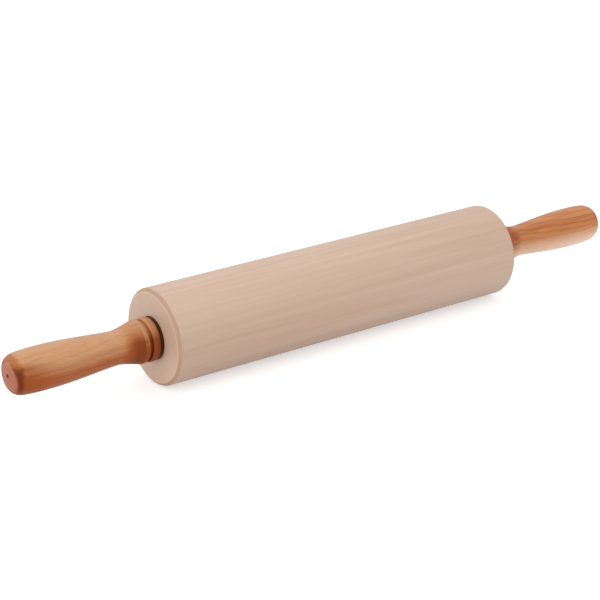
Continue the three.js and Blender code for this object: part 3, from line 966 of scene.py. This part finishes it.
class ROLLINGPIN_OT_cages(Operator):
    """Mould the nylon cages, with a round pocket for each ball"""
    bl_idname = "rolling_pin.cages"
    bl_label = "Ball cages"

    def execute(self, context):
        sizes = settings(context).bearing
        nylon = moulded("cage_nylon", sizes.nylon, darkened=0.86, smoothest=0.38, roughest=0.50,
                        shine=0.5)
        front, back = start_of("right_ball_cage"), end_of("right_ball_cage")
        for side in SIDES:
            ring = turned([(front, sizes.cage_inside), (front, sizes.cage_outside),
                           (back, sizes.cage_outside), (back, sizes.cage_inside)],
                          sizes.sides, ring=True)
            balls = bmesh.new()
            for _, place in ball_places(sizes):
                add_ball(balls, place, sizes.pocket_radius)
            bm = cut(soften(ring, 0.15 * MM), balls)
            finished(on_side(bm, side), f"{side}_ball_cage_nylon", nylon, f"{side}_ball_cage")
        return {"FINISHED"}


class ROLLINGPIN_OT_balls(Operator):
    """Set the polished balls between the races"""
    bl_idname = "rolling_pin.balls"
    bl_label = "Balls"

    def execute(self, context):
        sizes = settings(context).bearing
        steel = metal("ball_steel", sizes.steel, smoothest=0.06, roughest=0.14, pitch=1.5 * MM,
                      depth=0.02)
        for side in SIDES:
            for number, place in ball_places(sizes):
                node = f"{side}_ball_{number}"
                bm = bmesh.new()
                add_ball(bm, place, sizes.ball_radius)
                finished(on_side(bm, side), f"{node}_steel", steel, node)
        return {"FINISHED"}


class ROLLINGPIN_OT_hardware(Operator):
    """Turn the spacers, washers and barbed brass inserts between the bearings and the handles"""
    bl_idname = "rolling_pin.hardware"
    bl_label = "Spacers, washers and inserts"

    def execute(self, context):
        sizes = settings(context).hardware
        steel = settings(context).axle.steel
        turned_steel = metal("spacer_steel", steel, smoothest=0.22, roughest=0.36, pitch=0.3 * MM)
        stamped_steel = metal("washer_steel", steel, smoothest=0.26, roughest=0.40, pitch=0.8 * MM,
                              depth=0.06)
        brass = metal("insert_brass", sizes.brass, smoothest=0.24, roughest=0.40, pitch=0.35 * MM)
        pieces = (
            ("spacer", "steel", turned_steel, self.spacer(sizes)),
            ("washer", "steel", stamped_steel, self.washer(sizes)),
            ("threaded_insert", "brass", brass, self.insert(sizes)),
        )
        for side in SIDES:
            for node, finish, material, outline in pieces:
                bm = soften(turned(outline, sizes.sides, ring=True), 0.12 * MM)
                finished(on_side(bm, side), f"{side}_{node}_{finish}", material, f"{side}_{node}")
        return {"FINISHED"}

    def spacer(self, sizes):
        start, end = start_of("right_spacer"), end_of("right_spacer")
        low = sizes.spacer_radius - sizes.spacer_chamfer
        return [(start, sizes.bore_radius), (start, low),
                (start + sizes.spacer_chamfer, sizes.spacer_radius),
                (end - sizes.spacer_chamfer, sizes.spacer_radius), (end, low),
                (end, sizes.bore_radius)]

    def washer(self, sizes):
        start, end = start_of("right_washer"), end_of("right_washer")
        return [(start, sizes.bore_radius), (start, sizes.washer_radius),
                (end, sizes.washer_radius), (end, sizes.bore_radius)]

    def insert(self, sizes):
        start, end = start_of("right_threaded_insert"), end_of("right_threaded_insert")
        flange = start + sizes.flange_thickness
        pitch = (end - flange) / sizes.insert_barbs
        crest_share = 0.3
        barbs = []
        for barb in range(sizes.insert_barbs):
            crest = flange + pitch * (barb + crest_share)
            barbs += [(crest, sizes.insert_root), (crest, sizes.insert_radius),
                      (flange + pitch * (barb + 1), sizes.insert_root)]
        return [(start, sizes.bore_radius), (start, sizes.flange_radius),
                (flange, sizes.flange_radius), (flange, sizes.insert_root), *barbs,
                (end, sizes.bore_radius)]


def polar(radius, turn):
    return Vector((radius * math.cos(turn), radius * math.sin(turn)))


def clip_outline(sizes):
    """Points round an open ring with a lug on each side of its opening, and the lugs' middles."""
    inside, outside = sizes.clip_inside, sizes.clip_inside + sizes.clip_width
    lug, middle, half = sizes.lug_radius, sizes.clip_inside + sizes.lug_radius, sizes.clip_opening / 2
    meet = math.acos((middle ** 2 + outside ** 2 - lug ** 2) / (2 * middle * outside))
    sweep = math.tau - math.acos((middle ** 2 + lug ** 2 - outside ** 2) / (2 * middle * lug))
    first_lug = [polar(middle, half) + polar(lug, half - math.pi + sweep * i / LUG_STEPS)
                 for i in range(LUG_STEPS + 1)]
    other_lug = [Vector((p.x, -p.y)) for p in reversed(first_lug)]
    far = math.tau - 2 * (half + meet)
    back = [polar(outside, half + meet + far * i / CLIP_STEPS) for i in range(1, CLIP_STEPS)]
    open_half = math.pi - half
    front = [polar(inside, math.pi + open_half - 2 * open_half * i / CLIP_STEPS)
             for i in range(1, CLIP_STEPS)]
    return first_lug + back + other_lug + front, (polar(middle, half), polar(middle, -half))


class ROLLINGPIN_OT_retaining_rings(Operator):
    """Stamp the retaining rings that hold the bearings on the axle"""
    bl_idname = "rolling_pin.retaining_rings"
    bl_label = "Retaining rings"

    def execute(self, context):
        sizes = settings(context).hardware
        steel = metal("ring_spring_steel", sizes.spring_steel, smoothest=0.34, roughest=0.50,
                      pitch=0.9 * MM, depth=0.05)
        start, end = start_of("right_retaining_ring"), end_of("right_retaining_ring")
        outline, lugs = clip_outline(sizes)
        round_hole = [polar(sizes.lug_hole_radius, math.tau * i / LUG_STEPS) for i in range(LUG_STEPS)]
        holes = [[lug + point for point in round_hole] for lug in lugs]
        for side in SIDES:
            bm = bmesh.new()
            for loop in (outline, *holes):
                verts = [bm.verts.new((start, point.y, -point.x)) for point in loop]
                for pair in zip(verts, verts[1:] + verts[:1]):
                    bm.edges.new(pair)
            bmesh.ops.triangle_fill(bm, use_beauty=True, use_dissolve=False, edges=bm.edges)
            top = bmesh.ops.extrude_face_region(bm, geom=bm.faces)["geom"]
            raised = [item for item in top if isinstance(item, bmesh.types.BMVert)]
            bmesh.ops.translate(bm, verts=raised, vec=(end - start, 0.0, 0.0))
            bmesh.ops.recalc_face_normals(bm, faces=bm.faces)
            soften(bm, 0.06 * MM, segments=2, least=60.0)
            finished(on_side(bm, side), f"{side}_retaining_ring_steel", steel, f"{side}_retaining_ring")
        return {"FINISHED"}


def camera_axes(stage):
    """The camera's right, up and backward directions."""
    sin_a, cos_a = math.sin(stage.azimuth), math.cos(stage.azimuth)
    sin_e, cos_e = math.sin(stage.elevation), math.cos(stage.elevation)
    back = Vector((sin_a * cos_e, -cos_a * cos_e, sin_e))
    right = Vector((cos_a, sin_a, 0.0))
    return right, back.cross(right), back


def add_camera(stage):
    right, up, back = camera_axes(stage)
    camera = bpy.data.cameras.new("camera")
    camera.lens = stage.lens
    camera.sensor_width = 36.0
    holder = bpy.data.objects.new("camera", camera)
    holder.location = back * stage.distance - right * stage.aim_left - up * stage.aim_down
    holder.rotation_euler = Matrix((right, up, back)).transposed().to_euler()
    bpy.context.scene.collection.objects.link(holder)
    bpy.context.scene.camera = holder


def add_softbox(name, place, width, depth, power):
    """A rectangular lamp that points at the pin."""
    lamp = bpy.data.lights.new(name, "AREA")
    lamp.shape = "RECTANGLE"
    lamp.size = width
    lamp.size_y = depth
    lamp.energy = power
    holder = bpy.data.objects.new(name, lamp)
    holder.location = place
    holder.rotation_euler = (-Vector(place)).to_track_quat("-Z", "Y").to_euler()
    bpy.context.scene.collection.objects.link(holder)


def floor_material(stage):
    """A pale floor that the camera sees as white, with the pin's shadow on it."""
    material, tree, shader, _ = surface("pale_floor")
    shader.inputs["Base Color"].default_value = (*stage.floor_tone, 1.0)
    shader.inputs["Roughness"].default_value = 0.9
    shader.inputs["Specular IOR Level"].default_value = 0.1
    shader.inputs["Emission Color"].default_value = (1.0, 1.0, 1.0, 1.0)
    seen = add_node(tree, "ShaderNodeLightPath").outputs
    shown = maths(tree, "MAXIMUM", maths(tree, "MAXIMUM", seen["Is Camera Ray"],
                                         seen["Is Glossy Ray"]), seen["Is Transmission Ray"])
    tree.links.new(times(tree, shown, stage.floor_glow), shader.inputs["Emission Strength"])
    return material


def studio_world(stage):
    """Light from all round, weaker from the camera's side, with white behind the pin."""
    world = bpy.data.worlds.new("studio")
    bpy.context.scene.world = world
    world.use_nodes = True
    tree = world.node_tree
    towards = tree.nodes.new("ShaderNodeTexCoord").outputs["Generated"]
    facing = add_node(tree, "ShaderNodeVectorMath", {0: towards, 1: camera_axes(stage)[2]},
                      operation="DOT_PRODUCT").outputs["Value"]
    shaded = between(tree, facing, math.cos(stage.camera_side_to), math.cos(stage.camera_side_from),
                     1.0, stage.camera_side)
    horizon, near_zenith = 0.0, 0.9
    overhead = between(tree, split(tree, towards)[2], horizon, near_zenith, stage.low_level,
                       stage.high_level)
    shine = times(tree, shaded, overhead)
    seen = add_node(tree, "ShaderNodeLightPath").outputs
    lit = add_node(tree, "ShaderNodeMix", {0: seen["Is Glossy Ray"], 2: stage.world_level, 3: shine}
                   ).outputs[0]
    behind = maths(tree, "MAXIMUM", seen["Is Camera Ray"], seen["Is Transmission Ray"])
    strength = add_node(tree, "ShaderNodeMix", {0: behind, 2: lit, 3: 1.0}).outputs[0]
    background = tree.nodes["Background"]
    background.inputs["Color"].default_value = (1.0, 1.0, 1.0, 1.0)
    tree.links.new(strength, background.inputs["Strength"])


class ROLLINGPIN_OT_stage(Operator):
    """Set the camera, the lamps and the pale floor"""
    bl_idname = "rolling_pin.stage"
    bl_label = "Stage"

    def execute(self, context):
        stage = settings(context).stage
        add_camera(stage)
        bm = bmesh.new()
        bmesh.ops.create_grid(bm, x_segments=1, y_segments=1, size=stage.floor_width / 2)
        bmesh.ops.translate(bm, verts=bm.verts, vec=(0, 0, -settings(context).barrel.diameter / 2))
        mesh = bpy.data.meshes.new("floor")
        bm.to_mesh(mesh)
        bm.free()
        mesh.materials.append(floor_material(stage))
        floor = bpy.data.objects.new("floor", mesh)
        context.scene.collection.objects.link(floor)
        studio_world(stage)
        add_softbox("key", stage.key_place, stage.key_width, stage.key_depth, stage.key_power)
        add_softbox("fill", stage.fill_place, stage.fill_width, stage.fill_width, stage.fill_power)
        context.scene.view_settings.view_transform = "Standard"
        return {"FINISHED"}


class RollingPinSettings(PropertyGroup):
    barrel: PointerProperty(type=BarrelSizes)
    handle: PointerProperty(type=HandleSizes)
    axle: PointerProperty(type=AxleSizes)
    bearing: PointerProperty(type=BearingSizes)
    hardware: PointerProperty(type=HardwareSizes)
    stage: PointerProperty(type=StageSettings)


OPERATORS = (
    ROLLINGPIN_OT_effects,
    ROLLINGPIN_OT_barrel,
    ROLLINGPIN_OT_handles,
    ROLLINGPIN_OT_axle,
    ROLLINGPIN_OT_races,
    ROLLINGPIN_OT_seals,
    ROLLINGPIN_OT_cages,
    ROLLINGPIN_OT_balls,
    ROLLINGPIN_OT_hardware,
    ROLLINGPIN_OT_retaining_rings,
    ROLLINGPIN_OT_stage,
)


class ROLLINGPIN_PT_panel(Panel):
    """The pin's pieces and its stage"""
    bl_idname = "ROLLINGPIN_PT_panel"
    bl_label = "Rolling Pin"
    bl_space_type = "VIEW_3D"
    bl_region_type = "UI"
    bl_category = "Rolling Pin"

    def draw(self, context):
        for operator in OPERATORS:
            self.layout.operator(operator.bl_idname)


CLASSES = (BarrelSizes, HandleSizes, AxleSizes, BearingSizes, HardwareSizes, StageSettings,
           RollingPinSettings, *OPERATORS, ROLLINGPIN_PT_panel)


def register():
    for item in CLASSES:
        bpy.utils.register_class(item)
    bpy.types.Scene.rolling_pin = PointerProperty(type=RollingPinSettings)


def unregister():
    del bpy.types.Scene.rolling_pin
    for item in reversed(CLASSES):
        bpy.utils.unregister_class(item)


def main():
    register()
    bpy.ops.rolling_pin.effects()
    bpy.ops.rolling_pin.barrel()
    bpy.ops.rolling_pin.handles()
    bpy.ops.rolling_pin.axle()
    bpy.ops.rolling_pin.races()
    bpy.ops.rolling_pin.seals()
    bpy.ops.rolling_pin.cages()
    bpy.ops.rolling_pin.balls()
    bpy.ops.rolling_pin.hardware()
    bpy.ops.rolling_pin.retaining_rings()
    bpy.ops.rolling_pin.stage()


if __name__ == "__main__":
    main()
